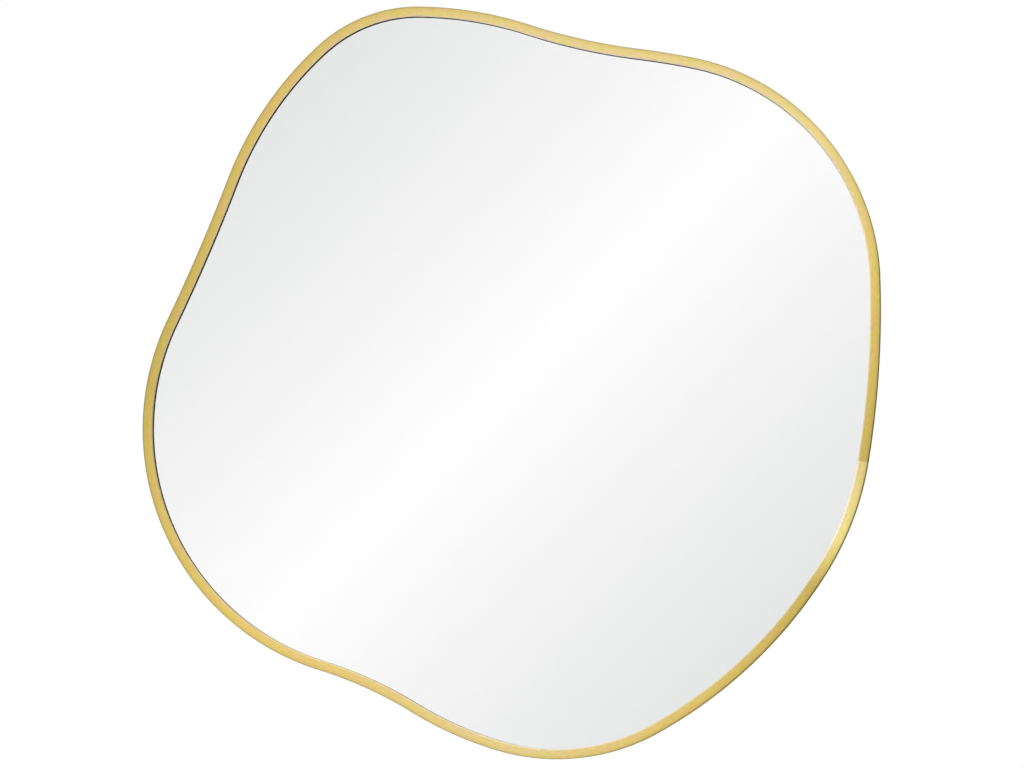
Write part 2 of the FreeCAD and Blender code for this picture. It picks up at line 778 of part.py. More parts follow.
def draw_ring_path(sketch):
    """The ring's centre line: a straight bar, two corners, two legs and a half circle below."""
    w, r, leg = ring_half_width.value, ring_corner.value, ring_leg.value
    axis = Vector(0, 0, 1)
    right_corner = Part.Circle(Vector(w - r, -r, 0), axis, r)
    left_corner = Part.Circle(Vector(r - w, -r, 0), axis, r)
    bow = Part.Circle(Vector(0, -leg, 0), axis, w)
    quarter = math.pi / 2
    sketch.addGeometry(Part.LineSegment(Vector(0, 0, 0), Vector(w - r, 0, 0)), False)
    sketch.addGeometry(Part.ArcOfCircle(right_corner, 0, quarter), False)
    sketch.addGeometry(Part.LineSegment(Vector(w, -r, 0), Vector(w, -leg, 0)), False)
    sketch.addGeometry(Part.ArcOfCircle(bow, 2 * quarter, 4 * quarter), False)
    sketch.addGeometry(Part.LineSegment(Vector(-w, -leg, 0), Vector(-w, -r, 0)), False)
    sketch.addGeometry(Part.ArcOfCircle(left_corner, quarter, 2 * quarter), False)
    sketch.addGeometry(Part.LineSegment(Vector(r - w, 0, 0), Vector(0, 0, 0)), False)
    hold(sketch, Sketcher.Constraint("Coincident", 0, 1, -1, 1))
    hold(sketch, Sketcher.Constraint("Coincident", 6, 2, -1, 1))
    hold(sketch, Sketcher.Constraint("Horizontal", 0))
    hold(sketch, Sketcher.Constraint("Horizontal", 6))
    hold(sketch, Sketcher.Constraint("Vertical", 2))
    hold(sketch, Sketcher.Constraint("Vertical", 4))
    meetings = ((0, 2, 1, 2), (1, 1, 2, 1), (2, 2, 3, 2), (3, 1, 4, 1), (4, 2, 5, 2), (5, 1, 6, 1))
    for meeting in meetings:
        hold(sketch, Sketcher.Constraint("Tangent", *meeting))
    hold(sketch, Sketcher.Constraint("Radius", 1, r), ring_corner)
    hold(sketch, Sketcher.Constraint("Radius", 5, r), ring_corner)
    hold(sketch, Sketcher.Constraint("Radius", 3, w), ring_half_width)
    hold(sketch, Sketcher.Constraint("PointOnObject", 3, 3, -2))
    hold(sketch, Sketcher.Constraint("DistanceY", 3, 3, -1, 1, leg), ring_leg)


def build_hanger(side, right, up):
    """One strap, its ring and its screws; the origin is the middle of the ring's straight bar."""
    strap = new_body(side + "_hanger_strap")
    profile = sketch_on(strap, "YZ_Plane", side + "_strap_profile")
    draw_strap(profile)
    sheet_fold = pad(strap, profile, side + "_strap_fold", strap_width)
    round_edges(
        strap,
        sheet_fold,
        side + "_strap_end",
        strap_corner,
        lambda edge: near(edge.BoundBox.ZMax, -strap_length.value)
        and near(edge.BoundBox.YLength, 2 * strap_sheet.value),
    )
    holes = sketch_on(strap, "XZ_Plane", side + "_strap_holes")
    screw_drops = (strap_screw_first, strap_screw_first + strap_screw_pitch)
    for drop in screw_drops:
        draw_circle(holes, 0, -drop, screw_radius + hole_clearance)
    drill(strap, holes, side + "_strap_drilling")
    bind(strap, Placement__Base__x=right, Placement__Base__y=ring_axis_depth, Placement__Base__z=up)

    ring = new_body(side + "_hanger_ring")
    path = sketch_on(ring, "XZ_Plane", side + "_ring_path")
    draw_ring_path(path)
    section = sketch_on(ring, "YZ_Plane", side + "_ring_section")
    draw_circle(section, 0, 0, ring_wire_radius)
    wire = ring.newObject("PartDesign::AdditivePipe", side + "_ring_wire")
    wire.Profile = section
    wire.Spine = (path, [])
    ring.Placement = Placement(Vector(0, 0, 0), Rotation(Vector(1, 0, 0), ring_tilt.value))
    bind(ring, Placement__Base__x=right, Placement__Base__y=ring_axis_depth, Placement__Base__z=up)
    bind(ring, Placement__Rotation__Angle=ring_tilt)

    driven = [
        drive_screw(
            side + "_hanger_screw_" + str(number),
            right,
            up - drop,
            board_back + strap_sheet * 2,
            recess_bearing * number,
        )
        for number, drop in enumerate(screw_drops, 1)
    ]
    return strap, ring, gathered(side + "_hanger_screws", driven)


left_set = build_hanger("left", middle_right - hanger_spacing / 2, middle_up + hanger_rise)
right_set = build_hanger("right", middle_right + hanger_spacing / 2, middle_up + hanger_rise)

# The board, with a pilot hole for every screw.
backer_board = cut("backer_board", board_blank, gathered("pilot_holes", pilots))

# ---------------------------------------------------------------------------------------------------
# Check and write
# ---------------------------------------------------------------------------------------------------
doc.recompute()
for item in doc.Objects:
    faults = [word for word in item.State if word in ("Invalid", "Error")]
    if faults:
        raise RuntimeError(item.Name + " is " + ", ".join(faults))

nodes = [
    frame_bar,
    joiner_plate,
    lip_gasket,
    glass_pane,
    silver_layer,
    shatter_film,
    mounting_tapes,
    backer_board,
    retaining_clips,
    clip_screws,
]
nodes += list(left_set) + list(right_set) + bumpers
os.makedirs("parts", exist_ok=True)
for node in nodes:
    node.Label = node.Name
    if node.Shape.isNull() or not node.Shape.isValid() or not node.Shape.Solids:
        raise RuntimeError(node.Name + " has no valid solid")
    node.Shape.exportStep("parts/" + node.Label + ".step")
    print(node.Label, len(node.Shape.Solids), round(node.Shape.Volume, 1))
print("hinge points", left_set[1].Placement.Base, right_set[1].Placement.Base)
print("bumper centres", [bumper.Placement.Base for bumper in bumpers])
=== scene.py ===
"""Looks of the irregular wall mirror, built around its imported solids, in metres in the same frame."""

import logging
import math
from dataclasses import dataclass, field
from enum import Enum

import bpy
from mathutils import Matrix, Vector


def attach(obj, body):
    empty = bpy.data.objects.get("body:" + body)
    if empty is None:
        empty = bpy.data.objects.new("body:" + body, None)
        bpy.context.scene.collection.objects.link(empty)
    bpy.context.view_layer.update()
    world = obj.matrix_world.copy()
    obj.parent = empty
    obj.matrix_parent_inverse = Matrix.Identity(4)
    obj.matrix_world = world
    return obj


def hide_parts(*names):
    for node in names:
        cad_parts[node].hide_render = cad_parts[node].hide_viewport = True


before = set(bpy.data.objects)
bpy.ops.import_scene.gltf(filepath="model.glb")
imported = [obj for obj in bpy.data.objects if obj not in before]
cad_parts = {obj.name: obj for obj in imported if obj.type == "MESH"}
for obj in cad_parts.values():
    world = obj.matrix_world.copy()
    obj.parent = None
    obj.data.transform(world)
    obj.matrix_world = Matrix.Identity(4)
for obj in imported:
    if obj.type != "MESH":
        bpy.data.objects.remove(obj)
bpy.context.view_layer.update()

report = logging.getLogger("mirror")

MM = 0.001
FULL_TURN = 360.0
WHITE = (1.0, 1.0, 1.0)

# A colour, a place, or a factor along each axis.
Triple = tuple[float, float, float]
Socket = bpy.types.NodeSocket


class Bend(Enum):
    """The way a run of the bar turns, seen from the room and going anticlockwise."""

    OUT = 1
    DIP = -1


class Mix(Enum):
    """How one tone is laid over another."""

    PLAIN = "MIX"
    MULTIPLY = "MULTIPLY"
    OVERLAY = "OVERLAY"


class MixSocket(Enum):
    """The colour sockets of the Mix node, by number, since its sockets share their names."""

    SHARE = 0
    UNDER = 6
    OVER = 7
    RESULT = 2


class RayKind(Enum):
    """The kinds of light path that see the white background."""

    CAMERA = "Is Camera Ray"
    GLOSSY = "Is Glossy Ray"
    TRANSMISSION = "Is Transmission Ray"


# ---- Shader building ----
class Finish:
    """A node tree in the making, with short ways to add nodes and join them."""

    def __init__(self, tree: bpy.types.NodeTree) -> None:
        """Starts on the tree of a material or of the world, emptied."""
        self.tree = tree
        self.tree.nodes.clear()

    def node(self, kind: str, **settings: object) -> bpy.types.Node:
        """Adds a node.

        Args:
            kind: the node's type, without its ShaderNode prefix.
            settings: properties of the node.

        Returns:
            The new node.
        """
        made = self.tree.nodes.new("ShaderNode" + kind)
        for name, value in settings.items():
            setattr(made, name, value)
        return made

    def feed(self, socket: Socket, source: object) -> None:
        """Joins a socket to another one, or sets its value.

        Args:
            socket: the input to fill.
            source: an output socket, or a number, colour or vector.
        """
        if isinstance(source, Socket):
            self.tree.links.new(source, socket)
        elif socket.type == "RGBA" and not isinstance(source, (int, float)) and len(source) == 3:
            socket.default_value = (*source, 1.0)
        else:
            socket.default_value = source

    def fill(self, node: bpy.types.Node, **inputs: object) -> None:
        """Fills a node's inputs, each by its name with _ for a space."""
        for name, source in inputs.items():
            self.feed(node.inputs[name.replace("_", " ")], source)

    def local(self, stretch: Triple = (1.0, 1.0, 1.0)) -> Socket:
        """The piece's own coordinates, with so many pattern units to a metre along each axis."""
        place = self.node("TexCoord")
        return self.scaled(place.outputs["Object"], stretch)

    def along(self, layer: str, stretch: Triple) -> Socket:
        """Coordinates from a UV layer, first along a bar and then across it, stretched likewise."""
        place = self.node("UVMap", uv_map=layer)
        return self.scaled(place.outputs["UV"], stretch)

    def slanted(self, layer: str, slope: float, stretch: Triple) -> Socket:
        """Coordinates laid along a bar, leaning across it.

        Args:
            layer: the name of the mesh's UV layer.
            slope: how far the pattern runs along the bar for each unit across it.
            stretch: pattern units to a metre, along each axis.

        Returns:
            The stretched coordinates.
        """
        flat = self.along(layer, (1.0, 1.0, 1.0))
        lean = self.sum("MULTIPLY", self.part(flat, "Y"), slope)
        joined = self.node("CombineXYZ")
        self.fill(joined, X=self.sum("ADD", self.part(flat, "X"), lean), Y=self.part(flat, "Y"))
        return self.scaled(joined.outputs[0], stretch)

    def scaled(self, vector: Socket, stretch: tuple[float, ...]) -> Socket:
        """Stretches coordinates.

        Args:
            vector: the coordinates.
            stretch: the factor along each axis.

        Returns:
            The stretched coordinates.
        """
        mapping = self.node("Mapping")
        self.fill(mapping, Vector=vector, Scale=stretch)
        return mapping.outputs["Vector"]

    def part(self, vector: Socket, axis: str) -> Socket:
        """One axis of a vector.

        Args:
            vector: the vector.
            axis: X, Y or Z.

        Returns:
            The value along that axis.
        """
        split = self.node("SeparateXYZ")
        self.feed(split.inputs[0], vector)
        return split.outputs[axis]

    def noise(self, vector: Socket, scale: float = 1.0, detail: float = 3.0, rough: float = 0.5) -> Socket:
        """Soft noise from 0 to 1.

        Args:
            vector: the coordinates.
            scale: pattern units to a coordinate unit.
            detail: how many finer layers are added.
            rough: how strong the finer layers are.

        Returns:
            The noise value.
        """
        made = self.node("TexNoise")
        self.fill(made, Vector=vector, Scale=scale, Detail=detail, Roughness=rough)
        return made.outputs["Fac"]

    def cells(self, vector: Socket, scale: float) -> Socket:
        """A pattern of cells, each in a colour of its own.

        Args:
            vector: the coordinates.
            scale: cells to a coordinate unit.

        Returns:
            The cell's colour.
        """
        made = self.node("TexVoronoi")
        self.fill(made, Vector=vector, Scale=scale)
        return made.outputs["Color"]

    def sum(self, operation: str, *terms: object) -> Socket:
        """Arithmetic on values.

        Args:
            operation: the name of the operation.
            terms: sockets or numbers.

        Returns:
            The result.
        """
        made = self.node("Math", operation=operation)
        for socket, term in zip(made.inputs, terms):
            self.feed(socket, term)
        return made.outputs[0]

    def spread(
        self, value: Socket, low: float, high: float, start: float = 0.0, end: float = 1.0
    ) -> Socket:
        """Maps a value from one range to another, held at the ends.

        Args:
            value: the value.
            low: the result at the start.
            high: the result at the end.
            start: the value that gives low.
            end: the value that gives high.

        Returns:
            The mapped value.
        """
        made = self.node("MapRange")
        self.fill(made, Value=value, From_Min=start, From_Max=end, To_Min=low, To_Max=high)
        return made.outputs["Result"]

    def tones(self, value: Socket, stops: list[tuple[float, Triple]]) -> Socket:
        """A run of colours over a value from 0 to 1.

        Args:
            value: the value.
            stops: places and colours, in order.

        Returns:
            The colour.
        """
        made = self.node("ValToRGB")
        self.feed(made.inputs["Fac"], value)
        ramp = made.color_ramp
        while len(ramp.elements) < len(stops):
            ramp.elements.new(0.5)
        for element, (place, colour) in zip(ramp.elements, stops):
            element.position = place
            element.color = (*colour, 1.0)
        return made.outputs["Color"]

    def blend(self, share: object, under: object, over: object, way: Mix = Mix.PLAIN) -> Socket:
        """Lays one colour over another.

        Args:
            share: how much of the upper colour shows.
            under: the lower colour.
            over: the upper colour.
            way: how they are combined.

        Returns:
            The mixed colour.
        """
        made = self.node("Mix", data_type="RGBA", blend_type=way.value)
        self.feed(made.inputs[MixSocket.SHARE.value], share)
        self.feed(made.inputs[MixSocket.UNDER.value], under)
        self.feed(made.inputs[MixSocket.OVER.value], over)
        return made.outputs[MixSocket.RESULT.value]

    def relief(self, height: Socket, depth: float, strength: float) -> Socket:
        """Fine surface relief.

        Args:
            height: the height pattern.
            depth: the depth of the pattern, in metres.
            strength: how much of it is used.

        Returns:
            The bumped normal.
        """
        made = self.node("Bump")
        self.fill(made, Height=height, Distance=depth, Strength=strength)
        return made.outputs["Normal"]

    def surface(self, **inputs: object) -> bpy.types.Node:
        """The main shader, joined to the output.

        Args:
            inputs: what goes into each of its inputs, as for fill.

        Returns:
            The shader node.
        """
        shader = self.node("BsdfPrincipled")
        self.fill(shader, **inputs)
        self.close(shader.outputs[0])
        return shader

    def close(self, shader: Socket, target: str = "OutputMaterial") -> None:
        """Joins a shader to the tree's output, a node of the target type."""
        self.tree.links.new(shader, self.node(target).inputs["Surface"])


def new_material(name: str) -> tuple[bpy.types.Material, Finish]:
    """Starts a material.

    Args:
        name: the material's name.

    Returns:
        The material and the tree to build it in.
    """
    material = bpy.data.materials.new(name)
    material.use_nodes = True
    return material, Finish(material.node_tree)


def dress(node: str, material: bpy.types.Material) -> None:
    """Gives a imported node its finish.

    Args:
        node: the node's name.
        material: the finish.
    """
    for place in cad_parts[node].material_slots:
        place.material = material
    report.info("%s dressed with %s", node, material.name)


def mesh_piece(name: str, mesh: bpy.types.Mesh, material: bpy.types.Material) -> bpy.types.Object:
    """Puts a mesh in the scene with its finish.

    Args:
        name: the piece's name.
        mesh: its mesh.
        material: its finish.

    Returns:
        The piece.
    """
    piece = bpy.data.objects.new(name, mesh)
    bpy.context.scene.collection.objects.link(piece)
    piece.data.materials.append(material)
    return piece


def grey(value: float) -> Triple:
    """A grey of one value."""
    return (value, value, value)


def linear(red: int, green: int, blue: int) -> Triple:
    """A colour written in display values from 0 to 255, as scene light."""
    shares = (value / 255.0 for value in (red, green, blue))
    return tuple(s / 12.92 if s <= 0.04045 else ((s + 0.055) / 1.055) ** 2.4 for s in shares)


# ---- The outline that the bar is bent to ----
def heading(bearing: float) -> tuple[float, float]:
    """The unit vector at a bearing in degrees, as its parts to the right and up."""
    return math.cos(math.radians(bearing)), math.sin(math.radians(bearing))


@dataclass
class Run:
    """One bend of the bar: millimetres and degrees; None is found by closing the loop."""

    name: str
    way: Bend
    radius: float | None
    turn: float | None
    bearing: float = 0.0
    start: float = 0.0
    centre: tuple[float, float] = (0.0, 0.0)

    @property
    def length(self) -> float:
        """The run's length along the outer edge."""
        return self.radius * math.radians(self.turn)

    def point(self, along: float, inset: float) -> Triple:
        """A point of the run.

        Args:
            along: how far along the outer edge, from the run's start.
            inset: how far in from the outer edge.

        Returns:
            Its place to the right and up, and the bearing of the outward normal.
        """
        side = self.way.value
        bearing = self.bearing + side * self.turn * along / self.length
        reach = side * self.radius - inset
        right, up = heading(bearing)
        return self.centre[0] + reach * right, self.centre[1] + reach * up, bearing


@dataclass
class Outline:
    """The closed outline, as a run of tangent bends that starts and ends at the seam."""

    seam: tuple[float, float] = (451.7, -103.1)
    seam_bearing: float = -9.4
    runs: list[Run] = field(
        default_factory=lambda: [
            Run("right_side", Bend.OUT, 1195.0, 11.2),
            Run("right_shoulder", Bend.OUT, None, 76.4),
            Run("shoulder_lead", Bend.OUT, 975.0, 4.2),
            Run("top_dip", Bend.DIP, 755.0, 10.8),
            Run("crown_lead", Bend.OUT, 473.0, 17.2),
            Run("crown", Bend.OUT, 186.0, 43.4),
            Run("left_shoulder", Bend.OUT, 442.0, 26.8),
            Run("left_dip", Bend.DIP, 2420.0, 4.6),
            Run("left_lobe", Bend.OUT, None, 98.4),
            Run("lower_dip", Bend.DIP, 520.0, 14.2),
            Run("foot_lead", Bend.OUT, 462.0, 15.0),
            Run("foot", Bend.OUT, 261.0, 45.2),
            Run("lower_right", Bend.OUT, 588.0, 29.0),
            Run("right_hip", Bend.OUT, 376.0, None),
        ]
    )

    def __post_init__(self) -> None:
        """Finds the open turn and the two open radii, and places every run."""
        known = sum(run.way.value * run.turn for run in self.runs if run.turn is not None)
        for run in self.runs:
            if run.turn is None:
                run.turn = (FULL_TURN - known) * run.way.value
        self.find_open_radii()
        right, up = self.seam
        bearing, start = self.seam_bearing, 0.0
        for run in self.runs:
            run.bearing, run.start = bearing, start
            reach = run.way.value * run.radius
            first = heading(bearing)
            bearing += run.way.value * run.turn
            last = heading(bearing)
            run.centre = (right - reach * first[0], up - reach * first[1])
            right = run.centre[0] + reach * last[0]
            up = run.centre[1] + reach * last[1]
            start += run.length
        self.length = start

    def find_open_radii(self) -> None:
        """Solves the two radii that are left open, so that the last run ends at the seam."""
        bearing = self.seam_bearing
        total = [0.0, 0.0]
        open_runs = []
        for run in self.runs:
            side = run.way.value
            first = heading(bearing)
            bearing += side * run.turn
            last = heading(bearing)
            chord = (side * (last[0] - first[0]), side * (last[1] - first[1]))
            if run.radius is None:
                open_runs.append((run, chord))
            else:
                total[0] += run.radius * chord[0]
                total[1] += run.radius * chord[1]
        (run_a, a), (run_b, b) = open_runs
        determinant = a[0] * b[1] - a[1] * b[0]
        run_a.radius = (b[0] * total[1] - b[1] * total[0]) / determinant
        run_b.radius = (a[1] * total[0] - a[0] * total[1]) / determinant

    def stations(self, first: float, last: float, step: float) -> list[float]:
        """Places along the outer edge, even within each run and with every run's ends among them.

        Args:
            first: where to start.
            last: where to end.
            step: the longest distance between two places.

        Returns:
            The places, in order.
        """
        places = [first]
        for run in self.runs:
            start, end = max(first, run.start), min(last, run.start + run.length)
            count = max(1, math.ceil((end - start) / step))
            places += [start + (end - start) * k / count for k in range(1, count + 1)]
        return places

    def point(self, along: float, inset: float) -> Triple:
        """A point of the outline.

        Args:
            along: how far along the outer edge, from the seam.
            inset: how far in from the outer edge.

        Returns:
            Its place to the right and up, and the bearing of the outward normal.
        """
        for run in self.runs:
            if along <= run.start + run.length:
                break
        return run.point(along - run.start, inset)


@dataclass(frozen=True)
class Corner:
    """A corner of the bar's section: inset from the outer edge, depth, and rounding, in mm."""

    inset: float
    depth: float
    rounding: float
    steps: int = 3


@dataclass(frozen=True)
class SectionPoint:
    """A point of the rounded section, with the outward normal there."""

    inset: float
    depth: float
    normal_in: float
    normal_deep: float
    developed: float


def rounded_section(corners: list[Corner]) -> list[SectionPoint]:
    """Rounds a closed section.

    Args:
        corners: the corners, with the solid on the left hand of the way round.

    Returns:
        The points in order, each with its normal and its place along the section.
    """
    flat: list[tuple[Vector, Vector]] = []
    for k, corner in enumerate(corners):
        here = Vector((corner.inset, corner.depth))
        before = Vector((corners[k - 1].inset, corners[k - 1].depth))
        after = Vector((corners[(k + 1) % len(corners)].inset, corners[(k + 1) % len(corners)].depth))
        arriving, leaving = (here - before).normalized(), (after - here).normalized()
        turn = math.atan2(arriving.x * leaving.y - arriving.y * leaving.x, arriving.dot(leaving))
        reach = corner.rounding * math.tan(abs(turn) / 2)
        side = 1 if turn > 0 else -1
        centre = here - arriving * reach + Vector((-arriving.y, arriving.x)) * corner.rounding * side
        for step in range(corner.steps + 1):
            angle = turn * step / corner.steps
            onward = Vector(
                (
                    arriving.x * math.cos(angle) - arriving.y * math.sin(angle),
                    arriving.x * math.sin(angle) + arriving.y * math.cos(angle),
                )
            )
            outward = Vector((onward.y, -onward.x))
            flat.append((centre + outward * corner.rounding * side, outward))
    points = []
    developed = 0.0
    for k, (place, outward) in enumerate(flat):
        if k:
            developed += (place - flat[k - 1][0]).length
        points.append(SectionPoint(place.x, place.y, outward.x, outward.y, developed))
    return points


# ---- Finishes ----
class BrassToneAndSheen(Enum):
    """The four tones laid along the bar, in 8-bit sRGB: painted sheen for how each stretch of the brushed
    bar catches the lights, over the real tone that brushing by hand leaves.
    """

    DEEP = (205, 180, 95)
    PLAIN = (225, 196, 110)
    PALE = (230, 207, 136)
    BRIGHT = (250, 230, 148)


@dataclass(frozen=True)
class BrushedBrass:
    """Brass-coloured bar, brushed along its length by hand; its colour carries painted sheen that drifts
    from stretch to stretch, with a real step at the seam, and painted shade and highlight across its
    section.
    """

    layer: str = "bar"
    length: float = 2.978
    face_start: float = 0.025
    band: float = 0.015
    roughness: float = 0.34
    smoother: float = 0.06
    rougher: float = 0.08
    brushing: float = 0.6
    brushing_turn: float = 0.25
    edge_tint: Triple = (0.85, 0.72, 0.42)
    gain: Triple = (1.065, 1.075, 1.12)
    # Painted sheen, stops from the seam going anticlockwise: the tone rises and falls as each stretch of
    # brushed brass would catch the lights; the jump at the seam is a real change of brushing.
    drift: tuple[tuple[float, BrassToneAndSheen], ...] = (
        (0.0, BrassToneAndSheen.DEEP),
        (0.07, BrassToneAndSheen.PLAIN),
        (0.15, BrassToneAndSheen.PALE),
        (0.28, BrassToneAndSheen.PALE),
        (0.4, BrassToneAndSheen.PLAIN),
        (0.54, BrassToneAndSheen.DEEP),
        (0.66, BrassToneAndSheen.PLAIN),
        (0.79, BrassToneAndSheen.PALE),
        (0.87, BrassToneAndSheen.PLAIN),
        (0.942, BrassToneAndSheen.DEEP),
        (0.967, BrassToneAndSheen.BRIGHT),
        (1.0, BrassToneAndSheen.PALE),
    )
    # Painted shade and highlight across the section, as factors from the outer edge of the face inward: the
    # outer wall and the face's outer edge painted darker, the inner bevel painted a pale cream glint, and
    # the last stop painted near black as shade, from the lip's inner edge round to the rear.
    across: tuple[tuple[float, Triple], ...] = (
        (0.0, (0.36, 0.34, 0.3)),
        (0.012, (0.66, 0.64, 0.59)),
        (0.04, (0.72, 0.71, 0.68)),
        (0.09, (0.87, 0.87, 0.86)),
        (0.22, (0.95, 0.95, 0.94)),
        (0.4, (1.0, 1.0, 1.0)),
        (0.55, (1.0, 1.0, 1.03)),
        (0.7, (1.0, 1.03, 1.25)),
        (0.745, (1.05, 1.13, 1.75)),
        (0.868, (1.08, 1.18, 2.35)),
        (0.88, (0.08, 0.07, 0.05)),
    )
    tan: Triple = (1.03, 0.97, 1.12)
    yellow: Triple = (0.98, 1.03, 0.84)
    hair_grain: Triple = (26.0, 2600.0, 1.0)
    hair_depth: float = 0.07
    stroke_slope: float = 1.2
    stroke_grain: Triple = (130.0, 520.0, 1.0)
    stroke_depth: float = 0.1
    cloud_slope: float = 0.8
    cloud_grain: Triple = (42.0, 90.0, 1.0)

    def material(self) -> bpy.types.Material:
        """Builds the finish.

        Returns:
            The material.
        """
        material, tree = new_material("brushed_brass")
        hairs = tree.noise(tree.slanted(self.layer, 0.0, self.hair_grain), detail=4.0, rough=0.62)
        strokes = tree.noise(tree.slanted(self.layer, self.stroke_slope, self.stroke_grain), rough=0.55)
        clouds = tree.noise(tree.slanted(self.layer, self.cloud_slope, self.cloud_grain), detail=2.0)
        patches = tree.noise(tree.local(), scale=7.0, detail=2.0)
        place = tree.along(self.layer, (1.0 / self.length, 1.0, 1.0))
        # Painted sheen along the bar, with a real step in tone at the seam.
        drift = [(share, linear(*tone.value)) for share, tone in self.drift]
        tone = tree.tones(tree.part(place, "X"), drift)
        # Painted shade and highlight across the section: darker outer wall and outer edge, a pale cream
        # glint on the inner bevel, near black from the lip's inner edge round to the rear.
        inset = tree.spread(tree.part(place, "Y"), 0.0, 1.0, self.face_start, self.face_start + self.band)
        tone = tree.blend(1.0, tone, tree.tones(inset, list(self.across)), Mix.MULTIPLY)
        tone = tree.blend(1.0, tone, tree.tones(clouds, [(0.3, self.yellow), (0.7, self.tan)]), Mix.MULTIPLY)
        for marks, depth in ((strokes, self.stroke_depth), (hairs, self.hair_depth)):
            light = tree.tones(marks, [(0.25, grey(1 - depth)), (0.75, grey(1 + depth))])
            tone = tree.blend(1.0, tone, light, Mix.MULTIPLY)
        tone = tree.blend(1.0, tone, self.gain, Mix.MULTIPLY)
        tangent = tree.node("Tangent", direction_type="UV_MAP", uv_map=self.layer)
        wear = tree.sum("ADD", hairs, patches)
        least, most = self.roughness - self.smoother, self.roughness + self.rougher
        tree.surface(
            Base_Color=tone,
            Metallic=1.0,
            Roughness=tree.spread(wear, least, most, start=0.6, end=1.4),
            Specular_Tint=self.edge_tint,
            Anisotropic=self.brushing,
            Anisotropic_Rotation=self.brushing_turn,
            Tangent=tangent.outputs[0],
            Normal=tree.relief(hairs, depth=0.02 * MM, strength=0.5),
        )
        return material


@dataclass(frozen=True)
class FloatGlass:
    """Clear float glass with a faint green cast."""

    tint: Triple = (0.998, 1.0, 0.999)
    clearer: Triple = (0.999, 1.0, 0.9995)
    index: float = 1.52

    def material(self) -> bpy.types.Material:
        """Builds the finish.

        Returns:
            The material.
        """
        material, tree = new_material("clear_glass")
        cast = tree.noise(tree.local(), scale=2.0, detail=1.0)
        tree.surface(
            Base_Color=tree.blend(cast, self.tint, self.clearer),
            Roughness=0.0,
            IOR=self.index,
            Transmission_Weight=1.0,
        )
        return material


@dataclass(frozen=True)
class SilverCoat:
    """The bright silvering seen through the glass."""

    bright: Triple = (0.875, 0.869, 0.871)
    duller: Triple = (0.873, 0.867, 0.869)

    def material(self) -> bpy.types.Material:
        """Builds the finish.

        Returns:
            The material.
        """
        material, tree = new_material("silvering")
        drift = tree.noise(tree.local(), scale=3.0, detail=2.0)
        tree.surface(
            Base_Color=tree.blend(drift, self.bright, self.duller),
            Metallic=1.0,
            Roughness=0.0,
        )
        return material


@dataclass(frozen=True)
class PlatedSteel:
    """Plated sheet or wire: a satin metal with mottling, fine scratches and rubbed edges."""

    name: str
    tone: Triple
    shade: Triple
    roughness: float
    grain: float = 260.0
    scratch_grain: Triple = (900.0, 60.0, 2400.0)
    spangle_size: float = 0.8
    spangle_share: float = 0.06
    rub_share: float = 0.7
    rub_gain: float = 1.25
    smoother: float = 0.07
    rougher: float = 0.1

    def material(self) -> bpy.types.Material:
        """Builds the finish.

        Returns:
            The material.
        """
        material, tree = new_material(self.name)
        place = tree.local()
        mottle = tree.noise(place, scale=self.grain, detail=3.0, rough=0.6)
        spangle = tree.cells(place, self.grain * self.spangle_size)
        scratches = tree.noise(tree.local(self.scratch_grain), detail=2.0, rough=0.7)
        edge = tree.node("NewGeometry")
        rub = tree.spread(edge.outputs["Pointiness"], 0.0, self.rub_share, start=0.5, end=0.56)
        rubbed = tuple(min(1.0, self.rub_gain * value) for value in self.tone)
        wear = tree.sum("ADD", mottle, scratches)
        tone = tree.blend(mottle, self.shade, self.tone)
        tone = tree.blend(self.spangle_share, tone, spangle, Mix.OVERLAY)
        tone = tree.blend(rub, tone, rubbed)
        least, most = self.roughness - self.smoother, self.roughness + self.rougher
        tree.surface(
            Base_Color=tone,
            Metallic=1.0,
            Roughness=tree.spread(wear, least, most, start=0.6, end=1.4),
            Normal=tree.relief(scratches, depth=0.02 * MM, strength=0.4),
        )
        return material


@dataclass(frozen=True)
class DullSolid:
    """A plain dull material, such as rubber, foam or film, with fine texture."""

    name: str
    tone: Triple
    shade: Triple
    roughness: float
    grain: float
    depth: float
    pit_share: float = 0.35
    smoother: float = 0.08
    rougher: float = 0.06

    def material(self) -> bpy.types.Material:
        """Builds the finish.

        Returns:
            The material.
        """
        material, tree = new_material(self.name)
        place = tree.local()
        drift = tree.noise(place, scale=18.0, detail=3.0)
        grain = tree.noise(place, scale=self.grain, detail=3.0, rough=0.65)
        pits = tree.tones(grain, [(0.3, grey(0.75)), (0.7, WHITE)])
        tone = tree.blend(drift, self.shade, self.tone)
        tone = tree.blend(self.pit_share, tone, pits, Mix.MULTIPLY)
        tree.surface(
            Base_Color=tone,
            Roughness=tree.spread(grain, self.roughness - self.smoother, self.roughness + self.rougher),
            Normal=tree.relief(grain, self.depth, strength=0.6),
        )
        return material


